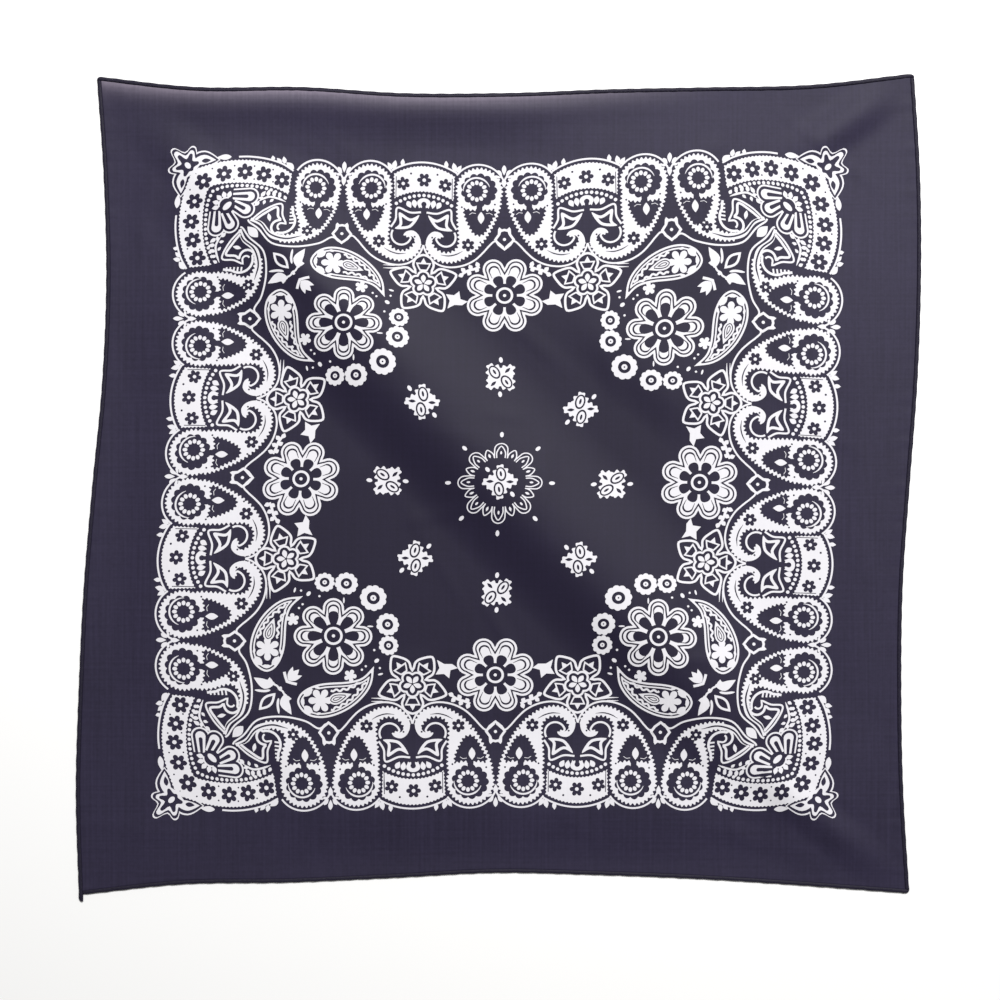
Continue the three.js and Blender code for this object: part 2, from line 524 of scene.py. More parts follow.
def hooked_paisley():
    """A paisley whose tail hooks round towards the arch, at its place left of the arch."""
    body = arc(15.8 + 192.2j, 14.7, 205, -22, 10)
    body += smooth([30.2 + 181j, 29.8 + 172j, 29.2 + 163j, 29.2 + 156.5j, 31.8 + 152.6j, 36 + 151j,
                    40.6 + 151.6j, 44.2 + 154.2j, 46 + 157.8j], steps=4)
    body += smooth([49.2 + 157.8j, 49.5 + 153.6j, 47.2 + 148.8j, 42.6 + 145.6j, 36.4 + 144.4j, 29.8 + 145.6j,
                    24.2 + 148.6j, 18.8 + 152.8j, 13.8 + 158.4j, 9.8 + 164.6j, 6.4 + 171.2j, 3.6 + 178.2j,
                    1.9 + 184.4j], steps=4)
    hook = smooth([45 + 151j, 46.6 + 155.6j, 45.2 + 159.6j, 42.2 + 161.2j, 38.6 + 161j, 40.4 + 163.6j,
                   44.6 + 164.4j, 48 + 162j, 49.8 + 157.6j, 49.2 + 153j], True, 4)
    slit = smooth([26.4 + 152.4j, 30.6 + 150.1j, 35.4 + 148.9j, 40.4 + 149.3j])
    below = smooth([0.6 + 155.4j, 5.6 + 159.4j, 9.4 + 156.6j, 13 + 152.4j, 18 + 147.4j, 24 + 143.8j,
                    30.4 + 141.9j, 36.6 + 141.6j, 42.4 + 143.2j, 47 + 146.9j, 50 + 151.2j, 51.4 + 155.2j],
                   steps=4)
    shapes = [(INK, toothed(body, 1.3, 2.75)), (INK, hook)]
    shapes += placed(paisley_head(), at=EYES[0]) + navy_flower(23.0 + 156.6j, 4.3)
    shapes += line(slit, 0.75, BARE, taper=0.3)
    shapes += dots((5.9 + 183.4j, 27.0 + 181.2j, 15.2 + 158.6j, 45.8 + 160.4j), 1.3)
    return shapes + line(arc(16.1 + 192j, 17.3, 158, 35, 7), OUTER_LINE) + line(below, OUTER_LINE)


def ivy_leaf():
    """The leaf and its tendril to the left of the arch's axis."""
    rim = smooth([49.6 + 176.6j, 42.6 + 176.2j, 34.4 + 179j, 33.4 + 171.6j, 30.4 + 166.2j], steps=6)
    tendril = smooth(arc(37.2 + 161.2j, 6.3, 150, 345, 12) + [42.2 + 160.9j, 40.4 + 160.3j], steps=2)
    blade = [48.6 + 174.6j, 42.8 + 172.2j, 35.6 + 176j, 35.9 + 168.6j, 33.2 + 165.2j, 43 + 166.3j]
    return line(rim, 1.25) + line(tendril, 1.25) + nest(smooth(blade, True, 6), 1.75)


def arch_unit():
    """The flowered arch between two paisleys."""
    axis = ARCH_AXIS
    band = arch(31.7 + 200.9j, 206.7, 3) + arch(32.4 + 185.2j, 190.2, 3)[::-1]
    shapes = [(INK, toothed(band, 0.55, 2.3))] + line(arch(30.2 + 203.1j, 209.2, 3), OUTER_LINE)
    shapes += navy_flower(complex(axis, 197.7), 4.7, 0)
    for side in (-1, 1):
        shapes += navy_flower(complex(axis + side * 13.6, 194.9), 4.5, 20 * side)
        shapes += dots([complex(axis + side * 8.6, 201.6)], 1.5)
        shapes += line([complex(axis + side * 18.2, 199.5), complex(axis + side * 18.2, 186)], 0.5, BARE)
    shapes += dots(evenly(arch(33.6 + 181.8j, 187.7), 3.2, False), 2.3, count=8, ink=INK)
    for side in (-1, 1):
        for out, turn, length in ((3.4, 78, 6.4), (6.2, 100, 5.6), (9.2, 120, 5.0)):
            root = complex(axis + side * out * 0.9, 179.2)
            shapes += fan(root, [(90 + side * (90 - turn), length, 0, 3.4)], 0.8, 8)
    shapes.append((INK, oval(8.8, 6.6, 18, at=complex(axis, 182.6))))
    shapes.append((BARE, oval(3.4, count=14, at=complex(axis, 181.9))))
    stem = [complex(axis + x, y) for x, y in ((-1.2, 182), (-1.5, 166), (1.5, 166), (1.2, 182))]
    shapes.append((BARE, stem))
    return shapes + both_sides(ivy_leaf(), axis)


def junction_leaves():
    """Small leaves in the notch between a paisley's outline and the arch's."""
    return [leaf([30.6 + 203.6j, 27.4 + 208.4j], 2.7), leaf([31.2 + 203.8j, 32.6 + 209.9j], 3.2),
            leaf([37 + 205.8j, 37.4 + 211j], 2.7)]


def gap_unit(axis):
    """The fan of leaves and the lantern between two paisleys back to back."""
    leaves = ((90, 8.6, 2, 2.9), (52, 6.8, 2, 2.4), (128, 6.8, 2, 2.4), (14, 5.2, 2, 1.7), (166, 5.2, 2, 1.7))
    shapes = fan(complex(axis, 200.4), leaves, 0.8, 8)
    shapes.append(leaf([complex(axis, 199.8), complex(axis, 194.2)], 3.0, 0.7))
    half = [complex(axis - out, up) for out, up in ((0, 167.6), (1.6, 167.2), (3.2, 168.6), (4.0, 167.2),
                                                    (4.2, 164), (6.7, 160.4), (4.2, 156.6), (0, 153.2))]
    return shapes + nest(mirrored(half, axis), 1.55) + dots([complex(axis, 160.6)], 2.1, count=10, ink=INK)


def tailed_paisley():
    """The paisley beside the corner, whose long tail runs on to the arrow leaf's point."""
    body = arc(119.8 + 192.2j, 14.7, 205, -22, 10)
    body += smooth([134 + 181j, 133.2 + 174j, 131 + 167j, 130.6 + 162.6j, 133.4 + 159.2j, 138.4 + 157.9j,
                    143 + 157.9j], steps=4)
    body += smooth([143 + 153.5j, 136 + 152.9j, 129.4 + 154j, 123.4 + 156.2j, 118 + 159.6j, 113.6 + 165.4j,
                    110.4 + 171.2j, 107.6 + 178.2j, 105.9 + 184.4j], steps=4)
    tail = smooth([139 + 157.7j, 147.6 + 159.4j, 154 + 166.4j, 161.6 + 169.4j], steps=6)
    tail += smooth([162 + 167.4j, 155.4 + 164j, 148.6 + 156j, 138 + 153j], steps=6)
    slit = smooth([128.6 + 157.6j, 138.6 + 155.4j, 148.6 + 158.4j, 154.8 + 165.6j, 159.8 + 168.2j], steps=6)
    below = smooth([105 + 155j, 109.6 + 157.8j, 118 + 153j, 132.6 + 150.2j, 147.2 + 152.4j, 156.2 + 161.8j,
                    162.2 + 166.2j, 163.6 + 168.2j], steps=6)
    shapes = [(INK, toothed(body, 1.3, 2.75)), (INK, tail)]
    shapes += placed(paisley_head(), at=EYES[1]) + navy_flower(125.4 + 161.4j, 3.9)
    shapes += line(slit, 1.0, BARE, taper=0.15)
    shapes += dots((109.8 + 183.4j, 130.8 + 181.2j, 118 + 163.4j), 1.3)
    return shapes + line(arc(119.9 + 192j, 17.3, 158, 35, 7), OUTER_LINE) + line(below, OUTER_LINE)


def arrow_leaf():
    """The leaf with a curled stem, above the diagonal. It points at the diagonal."""
    tip = 162 + 167.4j
    rim = smooth([tip, 153.4 + 174.8j, 143.2 + 179j, 141.8 + 171.4j, 139 + 165.4j], steps=6)
    back = smooth([tip - 3.2 + 0.6j, 153.4 + 172.2j, 145.8 + 176.6j, 144.6 + 170.6j, 142.6 + 168j], steps=6)
    curl = arc(143.4 + 162.8j, 4.9, 75, -60, 15) + arc(142 + 167.6j, 8.5, -75, -215, 12) + [135.8 + 178j]
    shapes = line(rim + arc(142 + 163.4j, 2.4, 110, -60, 20), 1.2) + line(back + curl, 1.55)
    shapes.append(leaf([149.4 + 166.8j, 150.8 + 172.4j], 2.4))
    for k in range(5):
        shapes += line([complex(134.4, 176 - 2.4 * k), complex(137.2, 175.6 - 2.4 * k)], 1.1)
    return shapes


def corner_band():
    """The flowered band round the corner, above the diagonal."""
    outer = smooth([137.6 + 199.2j, 143 + 202.2j, 150 + 205j, 158 + 207.1j, 166 + 208.2j, 175 + 208.4j,
                    184 + 207.6j, 192 + 205.8j, 199 + 203.6j], steps=4)
    inner = smooth([190.4 + 190.4j, 187.6 + 192j, 181 + 193j, 172 + 193.4j, 162 + 192.7j, 153 + 191j,
                    146 + 188.8j, 139 + 185.8j], steps=4)
    rim = smooth([136.6 + 201.4j, 143 + 205j, 150 + 207.6j, 158 + 209.5j, 166 + 210.5j, 172.6 + 210.6j],
                 steps=4)
    shapes = [(INK, toothed(outer + [203 + 203j] + inner, 0.55, 2.4))]
    for at, turn in ((143.8 + 194.8j, 90), (155.9 + 198.6j, 80), (168.3 + 200.7j, 85), (181.8 + 199.6j, 95)):
        shapes += navy_flower(at, 5.5, turn)
    shapes += dots((150 + 201.6j, 162.2 + 204.2j, 175.2 + 204.8j, 189.6 + 203.2j,
                    149.6 + 193.6j, 162 + 195.6j, 175 + 195.8j), 1.2)
    return shapes + line(rim, OUTER_LINE)


def corner_beads():
    """The beads along the inside of the corner's band."""
    row = smooth([144.6 + 185.6j, 151 + 188.4j, 159 + 190.4j, 167 + 191.3j, 175 + 191.3j, 182 + 190.4j,
                  188 + 188j], steps=4)
    return dots(evenly(row, 3.3, False), 2.3, count=8, ink=INK)


def corner_daisy():
    """Half a daisy on the diagonal: four petals with slits, a line round them, its heart and crown."""
    heart = 178.4 + 178.4j
    ends = [(174.6 + 184.2j, 160.6 + 183.8j), (173.8 + 179.8j, 162.8 + 173.6j)]
    ends += [(complex(a.imag, a.real), complex(b.imag, b.real)) for a, b in ends]
    shapes = []

    def petals(ink, share, grow, back, width, base):
        for root, tip in ends:
            way = (tip - root) / abs(tip - root)
            petal = petal_outline(abs(tip - root) * share + grow + back, width + 2 * grow, base + 2 * grow)
            shapes.extend(placed([(ink, petal)], at=root - way * back, turn=degrees(cmath.phase(way))))

    petals(INK, 1, 2.8, 0, 6.4, 4.4)
    petals(BARE, 1, 1.7, 1.5, 6.4, 4.4)
    petals(INK, 1, 0, 0, 6.4, 4.4)
    petals(BARE, 0.72, 0, 1.5, 2.5, 1.5)
    shapes += [(BARE, oval(11.4, count=20, at=heart)), (INK, oval(7.0, 3.8, 14, heart - 0.6 - 0.6j, 135))]
    shapes += line(arc(heart, 5.0, -14, 104, 12), 1.1)
    return shapes + fan(heart, [(turn, 4.8, 9.6, 3.1) for turn in (-12, 16, 45, 74, 102)], 0.9, 8)


def corner_sprig():
    """The small leafy twig between the daisy and the arrow leaf."""
    twig = smooth([140.4 + 180.6j, 146 + 182.6j, 152 + 183.4j, 158.2 + 180.4j])
    return line(twig, 1.3, taper=0.2) + twig_leaves((
        (141 + 183.4j, 60, 3.2, 2.2), (144.6 + 184.6j, 95, 3.6, 2.2), (148.4 + 185.6j, 70, 4.2, 2.4),
        (152 + 186.2j, 95, 4.4, 2.6), (155.2 + 185.6j, 125, 4.6, 2.6), (156.4 + 182.6j, 10, 3.6, 2.2),
        (158.8 + 178.8j, -45, 4.2, 2.6), (149.6 + 181j, -40, 3.2, 1.9), (154.2 + 179.8j, -75, 3.2, 2.0)), 0.8)


TIP = 205.6 + 205.6j
TIP_LEAF = [203.4 + 207.4j, 195 + 209.4j, 187.4 + 208.9j]
TIP_REACHES = (11.6, 9.8, 8.6, 7.2, 8.6, 9.8)
TIP_VALLEY = 6.6


def tip_star(reaches, valley, grow=0):
    """A six-pointed star with blunt tips, the first on the diagonal."""
    star = []
    for i, reach in enumerate(reaches):
        for turn, radius in ((-7, reach + grow), (7, reach + grow), (30, valley + 0.8 * grow)):
            star.append(cmath.rect(radius, radians(45 + 60 * i + turn)))
    return smooth(star, True, 3)


def corner_on_diagonal():
    """What lies across the diagonal at the corner: the tip's star, a flower, a leaf and the daisy."""
    inside = tip_star((8.6, 7.6, 7.0, 4.6, 7.0, 7.6), 4.2)
    shapes = placed([(INK, tip_star(TIP_REACHES, TIP_VALLEY)), (BARE, inside),
                     (INK, oval(4.8, 3.4, 12, turn=45))], at=TIP)
    shapes += navy_flower(194.9 + 194.9j, 5.8, 45)
    shapes.append(leaf([156.4 + 156.4j, 163.6 + 163.6j], 5.6, 0.9, 14))
    return shapes + corner_daisy()


def corner_side_leaves():
    """Leaves and buds on the band's outside, above the diagonal."""
    return [leaf(TIP_LEAF, 6.2, 0.9, 14), leaf([196.8 + 208.3j, 190.6 + 208.9j], 2.9, 0.8, 8, BARE),
            leaf([177.4 + 210.7j, 187 + 210.5j], 3.6, 0.8), leaf([136.4 + 202.6j, 141.6 + 206.4j], 3.8, 0.8),
            leaf([142.4 + 205.6j, 143.4 + 210.2j], 3.0, 0.8),
            leaf([144.6 + 205.8j, 147.8 + 209.2j], 2.6, 0.8), leaf([150 + 207.6j, 150.6 + 210.8j], 2.6, 0.8)]


def corner_halo():
    """The line round the corner's tip. What lies inside it is drawn over it."""
    shapes = []
    for ink, grow in ((INK, 2.9), (BARE, 1.9)):
        around = [TIP_LEAF[0] + grow, TIP_LEAF[1], TIP_LEAF[2] - grow]
        shapes += across_diagonal([leaf(around, 6.2 + 2 * grow, 0.9, 14, ink)])
        shapes += placed([(ink, tip_star(TIP_REACHES, TIP_VALLEY, grow))], at=TIP)
    return shapes


def upper_corner():
    """The corner above the diagonal, to be mirrored across it."""
    band = corner_band() + corner_beads() + corner_sprig()
    return band + tailed_paisley() + arrow_leaf() + corner_side_leaves()


def big_flower(radius, lobe, ring):
    """The eight-petalled flower with double outlines, round the origin. lobe is its navy star's reach."""
    petals = 8
    edge = []
    for i in range(petals):
        middle = 360 / petals * i
        edge += arc(cmath.rect(radius * 0.73, radians(middle)), radius * 0.27, middle - 96, middle + 96, 16)
        edge.append(cmath.rect(radius * 0.715, radians(middle + 180 / petals)))
    shapes = nest(edge, 1.4, 0.95)
    for i in range(petals):
        angle = 360 / petals * i
        way = cmath.rect(1, radians(angle))
        foot, aside = way * radius * 0.53, way * 1j * 2.9
        crescent = [foot - aside] + arc(way * radius * 0.68, 3.1, angle - 85, angle + 85, 17) + [foot + aside]
        shapes += line(crescent, 1.15, BARE, taper=0.2)
        shapes.append(leaf([way * lobe, way * 3.0], 6.4, 0.5, 14, BARE))
    shapes.append((BARE, oval(15.4, count=32)))
    shapes += [(INK, oval(ring * 2, count=24)), (BARE, oval(ring * 2 - 3.0, count=20))]
    return shapes + [(INK, oval(2.1, count=10))]


def star_flower():
    """The five-petalled flower, round the origin: one line round its petals, crowns and a small flower."""
    edge = []
    for i, reach in enumerate((19.6, 22.6, 22.0, 22.0, 22.6)):
        spin = cmath.rect(1, radians(90 - 72 * i))
        for out, aside in ((12.4, 7.2), (17.0, 5.4), (reach, 0.0), (17.0, -5.4), (12.4, -7.2), (8.2, -5.9)):
            edge.append(complex(out, aside) * spin)
    shapes = nest(smooth(edge, True, 4), 1.45)
    crown = [16.9 + 0j, 13.7 + 1.7j, 13.7 + 4.9j, 10.8 + 3.7j, 8.4 + 2.4j]
    crown += [p.conjugate() for p in crown[:0:-1]]
    for i in range(5):
        shapes += placed(nest(crown, 0.95), turn=90 - 72 * i)
    shapes += nest(rosette(5, 6.9, 8.7, 0, 90, 0.8, INK, 8)[1], 1.3)
    shapes += fan(0, [(90 + 72 * i, 5.9, 0.4, 3.1) for i in range(5)], 0.8, 10)
    return shapes + [(BARE, oval(1.5, count=8))]


def scalloped_disc(radius):
    """A disc with twelve scallops, a bare ring and an inked heart."""
    shapes = [(INK, scalloped(oval(2 * radius - 0.7, count=48), 0.9, 2 * pi * radius / 12))]
    for ink, share, count in ((BARE, 0.98, 18), (INK, 0.46, 12), (BARE, 0.14, 6)):
        shapes.append((ink, oval(radius * share, count=count)))
    return shapes


def seed_pair():
    """Two small toothed paisleys head to tail, and a seed beyond each. The seeds lie along the upright."""
    half = [(INK, toothed(leaf([0.2 - 2j, 0.6 + 5j, 0 + 11.8j], 10.6, 0.85, 14)[1], 1.5, 4.2)),
            (INK, toothed(leaf([-1.0, 5.0 + 0.4j, 11.4], 9.4, 0.85, 14)[1], 1.5, 4.0))]
    core = [(BARE, oval(6.5, 9.6, 18, 0.6 + 4.9j, 10)), (INK, oval(4.5, 7.4, 16, 0.6 + 5j, 10)),
            (BARE, oval(1.5, 3.8, 8, 0.5 + 5.1j, 10)), leaf([3.8 - 0.2j, 8.6 - 0.3j], 2.0, 1.0, 6, BARE),
            (INK, oval(2.5, 3.8, 10, -7.8 + 8.2j, 35))]
    return placed(half + placed(half, turn=180) + core + placed(core, turn=180), turn=-43.5)


# Where each seed pair lies, whether it is mirrored, and its turn
SEED_PAIRS = (
    (0, False, 45), (69.5 - 1j, True, 90), (48.5 + 48j, True, 135), (-2 + 70.5j, True, 0),
    (-50.5 + 52j, False, 45), (-70 + 0.5j, False, 90), (-50 - 49j, True, 135), (1 - 70.5j, False, 0),
    (51 - 49.5j, False, 45),
)


def pointed_petal(reach, width):
    """A pointed petal's outline, open at its base."""
    side = [complex(0, -width / 2), complex(reach * 0.5, -width / 2)]
    return smooth(side + [complex(reach, 0)] + [p.conjugate() for p in side[::-1]])


def medallion():
    """The ring of petals and seeds round the middle, and the nine seed pairs."""
    small = line(pointed_petal(6.9, 4.9), 0.75) + [leaf([1 + 0j, 4.2 + 0j], 1.5)]
    large = line(petal_outline(10.1, 8.2, 8.2), 0.75) + line(pointed_petal(8.2, 5.2), 0.75)
    large.append((INK, oval(2.4, 1.3, 8, 3.6)))
    seed = [(INK, oval(3.8, 2.4, 10))]
    shapes = []
    for i in range(8):
        for motif, out, turn in ((small, 16, 45 * i + 22.5), (large, 15.9, 45 * i), (seed, 32.2, 45 * i)):
            shapes += placed(motif, at=cmath.rect(out, radians(turn)), turn=turn)
    shapes.append((BARE, oval(31.4, count=48)))
    for at, flip, turn in SEED_PAIRS:
        shapes += placed(placed(seed_pair(), flip=flip), at=at, turn=turn)
    return shapes


def wavy(points, height, pitch):
    """A line that waves evenly from side to side."""
    fine = evenly(points, pitch / 6, False)
    sides = outward(fine, False)
    return [p + v * height * sin(2 * pi * i / 6) for i, (p, v) in enumerate(zip(fine, sides))]


def big_drop():
    """The outlined paisley drop above the diagonal, between the border and the corner's flower."""
    spine = smooth([122.4 + 140.8j, 108 + 140.8j, 92 + 137j, 80.6 + 129.8j, 75 + 119j])
    shapes = nest(leaf(spine, 21.2, 0.57, 44)[1], 1.25, 0.85, 0.95)
    for start, end, width, reach in ((26, 76, 4.2, 9.2), (-14, 20, 2.0, 8.8), (-76, -24, 4.2, 9.2),
                                     (-112, -88, 1.6, 9.0), (92, 114, 1.6, 9.0)):
        shapes += line(arc(111.2 + 140.6j, reach - width / 2, start, end, 9), width, taper=0.25)
    shapes.append(rosette(6, 5.0, 8.2, 108 + 140.4j, 0, 0.6, BARE))
    shapes.append(rosette(6, 3.2, 7.5, 108 + 140.4j, 0, 0.6, INK, 8))
    shapes += nest(leaf([103 + 140.6j, 98 + 139.4j, 88.8 + 136.4j], 7.0, 0.62, 14)[1], 1.0, 0.6, 0.8, 0.5)
    for vein in ([101.6 + 146.2j, 94.8 + 143.4j, 87.8 + 138.4j, 82.2 + 132j, 80.4 + 128.8j],
                 [101.6 + 134.2j, 95 + 134j, 88.6 + 132.2j, 83.6 + 129j]):
        shapes += line(wavy(smooth(vein), 0.6, 4.4), 1.3)
    return shapes + [(INK, oval(2.0, 1.6, 8, 85 + 133.4j, 45))]


def drop_trail():
    """Seeds and ticks near the drop's tip, and the short lines above it."""
    shapes = dots((80.2 + 119.2j, 82.6 + 121.4j, 71.4 + 120.2j), 1.5, count=7, ink=INK)
    shapes += [(INK, oval(3.4, 2.4, 9, 73.4 + 115.6j, 35)), rosette(5, 2.1, 4.0, 89.8 + 125.2j, 30),
               (INK, oval(3.4, 1.3, 8, 71 + 124j, 15)), (INK, oval(4.0, 1.1, 8, 77.6 + 94j)),
               (INK, oval(1.6, count=6, at=75 + 109j))]
    for drop in (0, 2.0):
        stroke = [complex(64 + drop, 142.2 - drop), complex(70, 141.2 - drop), complex(76.6, 141 - drop)]
        shapes += line(stroke, 1.0, taper=0.3)
    return shapes


def bird_leaf():
    """A small solid leaf with three points and a tail."""
    return [(INK, [23 + 119.6j, 27.6 + 121j, 28.4 + 126.2j, 31.6 + 123.4j, 36.8 + 123.8j, 34.4 + 119.6j,
                   35.8 + 114.4j, 31.4 + 117j, 26.6 + 117j])]


def notch_sprig():
    """The small branch below the border, beside the middle flower."""
    branch = smooth([15.6 + 142.6j, 19 + 141j, 23.4 + 139.6j, 27.6 + 136.8j])
    return line(branch, 1.6) + twig_leaves((
        (17 + 144j, 70, 4.0, 2.9), (17.4 + 140.4j, -60, 3.4, 2.9), (21.4 + 142.2j, 60, 3.6, 2.9),
        (22.2 + 138.2j, -60, 3.6, 2.9), (26 + 140.2j, 40, 3.6, 2.9), (27.4 + 136.6j, -20, 3.6, 2.9)), 0.9)


def field_leaves():
    """Half of the leafy spray that points at the corner, above the diagonal."""
    shapes = [leaf([129.4 + 136j, 130.2 + 142j, 126 + 149j], 5.8, 0.8, 14),
              leaf([131 + 138.8j, 125.8 + 139.2j], 3.6, 0.8, 8)]
    return shapes + line(smooth([133.8 + 138.8j, 134.4 + 142.8j, 133.8 + 148.4j]), 1.5, taper=0.15)


def field_on_diagonal():
    """The spray's outlined leaf and stems, the leaf with a bent bar, the corner's flower and a disc."""
    shapes = nest(leaf([135.6 + 135.6j, 140.4 + 140.4j, 146.2 + 146.2j], 7.0, 1.0, 14)[1], 1.45)
    shapes += fan(127.7 + 127.7j, ((198, 0, 8.8, 3.2), (225, 0, 9.3, 4.2), (252, 0, 8.8, 3.2)), 0.9, 10)
    shapes += across_diagonal(line([122.5 + 130.2j, 125.5 + 129.5j, 129 + 128.3j], 1.7))
    shapes += across_diagonal(line(smooth([133.4 + 133.4j, 131.4 + 134.4j, 130 + 136.8j]), 1.2))
    shapes.append((INK, oval(2.2, count=8, at=132.6 + 132.6j)))
    shapes += placed(big_flower(24.2, 15.8, 5.7), at=100.4 + 100.4j)
    return shapes + placed(scalloped_disc(8.4), at=75.6 + 75.6j, turn=45)


def upper_field():
    """The field's motifs above the diagonal, off the upright axis."""
    shapes = big_drop() + drop_trail() + field_leaves() + placed(star_flower(), at=51.1 + 129.9j)
    shapes += notch_sprig() + bird_leaf()
    return shapes + placed(scalloped_disc(7.2), at=66.6 + 92.4j) + placed(scalloped_disc(6.2), at=66 + 105.8j)


def field_on_axis():
    """The field's motifs across the upright axis."""
    return placed(big_flower(25, 13.4, 5.4), at=124j, turn=22.5)


# Materials

class Wire:
    """A node's output that arithmetic can be done on."""

    def __init__(self, bench, socket):
        self.bench = bench
        self.socket = socket

    def other(self, name):
        """Another output of the same node."""
        return Wire(self.bench, self.socket.node.outputs[name])

    def __add__(self, other):
        return self.bench.maths("ADD", self, other)

    def __sub__(self, other):
        return self.bench.maths("SUBTRACT", self, other)

    def __rsub__(self, other):
        return self.bench.maths("SUBTRACT", other, self)

    def __mul__(self, other):
        return self.bench.maths("MULTIPLY", self, other)

    def size(self):
        return self.bench.maths("ABSOLUTE", self, 0)

    __radd__ = __add__
    __rmul__ = __mul__


class Bench:
    """Where one tree's nodes are made."""

    def __init__(self, tree):
        self.tree = tree

    def node(self, kind, settings=None, values=None, output=0):
        """Any node: its settings, its inputs' values or wires, and the output that is wanted."""
        made = self.tree.nodes.new(kind)
        for name, value in (settings or {}).items():
            setattr(made, name, value)
        for name, value in (values or {}).items():
            if isinstance(value, Wire):
                self.tree.links.new(value.socket, made.inputs[name])
            else:
                made.inputs[name].default_value = value
        return Wire(self, made.outputs[output]) if made.outputs else None

    def maths(self, operation, a, b):
        return self.node("ShaderNodeMath", {"operation": operation}, {0: a, 1: b})

    def noise(self, place, scale, detail):
        values = {"Vector": place, "Scale": scale, "Detail": detail}
        return self.node("ShaderNodeTexNoise", None, values)

    def blend(self, share, a, b):
        """A colour between two others. The Mix node's colours are its inputs 6 and 7 and its output 2."""
        return self.node("ShaderNodeMix", {"data_type": "RGBA"}, {"Factor": share, 6: a, 7: b}, output=2)


def cloth_finish(name, colour, deep, roughness, gloss, weave_depth, edge_colour=None, painted_sheen=None):
    """A plain-woven cotton: two sets of threads, with faint streaks along them.

    It may change colour towards its edges, and it is lightened with a painted sheen where its own sheen layer
    says so."""
    material = bpy.data.materials.new(name)
    material.use_nodes = True
    material.node_tree.nodes.clear()
    bench = Bench(material.node_tree)
    place = bench.node("ShaderNodeTexCoord", output="Object")
    wander = {"Vector": place, "Distortion": 3.0, "Detail": 1.0, "Detail Scale": 0.4}
    warp = bench.node("ShaderNodeTexWave", {"bands_direction": "X"}, {**wander, "Scale": WARP})
    weft = bench.node("ShaderNodeTexWave", {"bands_direction": "Y"}, {**wander, "Scale": WEFT})
    slubs = bench.noise(place, 420.0, 2.0)
    down = bench.node("ShaderNodeMapping", None, {"Vector": place, "Scale": (620.0, 16.0, 16.0)})
    across = bench.node("ShaderNodeMapping", None, {"Vector": place, "Scale": (16.0, 560.0, 16.0)})
    ends, picks = bench.noise(down, 1.0, 1.0), bench.noise(across, 1.0, 1.0)
    clouds = bench.noise(place, 9.0, 3.0)
    height = warp * 0.5 + weft * 0.5 + slubs * 1.2
    tone = ends * 0.44 + picks * 0.28 + clouds * 0.4 + slubs * 0.3 - 0.21
    ground = (*colour, 1)
    if edge_colour:
        east = bench.node("ShaderNodeSeparateXYZ", None, {0: place})
        out = bench.maths("MAXIMUM", east.size(), east.other("Y").size())
        near_edge = bench.node("ShaderNodeMapRange", {"interpolation_type": "SMOOTHSTEP"},
                               {"Value": out, "From Min": 0.10, "From Max": 0.24})
        ground = bench.blend(near_edge, ground, (*edge_colour, 1))
    mixed = bench.blend(tone, (*deep, 1), ground)
    # Painted sheen: the colour is lightened towards a pale one where the layer says so, standing for light
    # caught on the cloth beside the north hem
    if painted_sheen:
        sheen_share = bench.node("ShaderNodeAttribute", {"attribute_name": SHEEN_LAYER}, output="Fac")
        mixed = bench.blend(sheen_share * (tone + 0.5), mixed, (*painted_sheen, 1))
    depth = {"Height": height, "Strength": 0.5, "Distance": weave_depth * MM}
    bump = bench.node("ShaderNodeBump", None, depth)
    shader = bench.node("ShaderNodeBsdfPrincipled", None, {
        "Base Color": mixed, "Roughness": roughness, "Specular IOR Level": gloss, "Normal": bump})
    bench.node("ShaderNodeOutputMaterial", None, {"Surface": shader})
    return material


# The layer that says where the cloth's painted sheen lies
SHEEN_LAYER = "painted_sheen"
WARP, WEFT = 690.0, 730.0
# The navy cloth, lighter towards its edges, with a pale painted sheen that stands for light caught beside the
# north hem
COTTON = cloth_finish("navy_cotton", (0.016, 0.0122, 0.034), (0.009, 0.0068, 0.018), 0.58, 0.21, 0.05,
                      edge_colour=(0.033, 0.0272, 0.061), painted_sheen=(0.17, 0.145, 0.19))
HEM_COTTON = cloth_finish("navy_hem", (0.0145, 0.0115, 0.027), (0.009, 0.007, 0.017), 0.6, 0.2, 0.05)
WHITE_PRINT = cloth_finish("white_print", (0.76, 0.745, 0.775), (0.68, 0.665, 0.70), 0.7, 0.15, 0.05)
THREAD = cloth_finish("navy_thread", (0.018, 0.016, 0.028), (0.012, 0.011, 0.020), 0.5, 0.4, 0.02)


# The cloth: a thin shell with puckers along its hems

# The roll beside the north hem: its height, where its crest lies and how far it falls away
NORTH_ROLL, ROLL_CREST, ROLL_FALL = 0.8, 7.0, 16.0


def puckers(across, up):
    """Small gathers that the hem's stitches pull into the cloth beside them."""
    draw = np.random.RandomState(PUCKER_SEED)
    height = 0
    for along, out in ((across, SEAM - up), (across, SEAM + up), (up, SEAM - across), (up, SEAM + across)):
        fall = np.exp(-np.maximum(out, 0) / 7)
        for pitch in (9.7, 6.3, 14.9):
            phase = draw.uniform(0, 2 * pi)
            swell = 0.6 + 0.4 * np.sin(along / 37 + draw.uniform(0, 2 * pi))
            height = height + 0.11 * swell * (1 + np.sin(2 * pi * along / pitch + phase)) * fall
    return height + NORTH_ROLL * north_roll(across, SEAM - up)


def north_roll(across, out):
    """The low roll beside the north hem, steep towards the hem. It fades out in the east."""
    run = ease((across + HALF) / 20) * ease((150 - across) / 120)
    return run * np.where(out < ROLL_CREST, ease(out / ROLL_CREST), ease(1 - (out - ROLL_CREST) / ROLL_FALL))


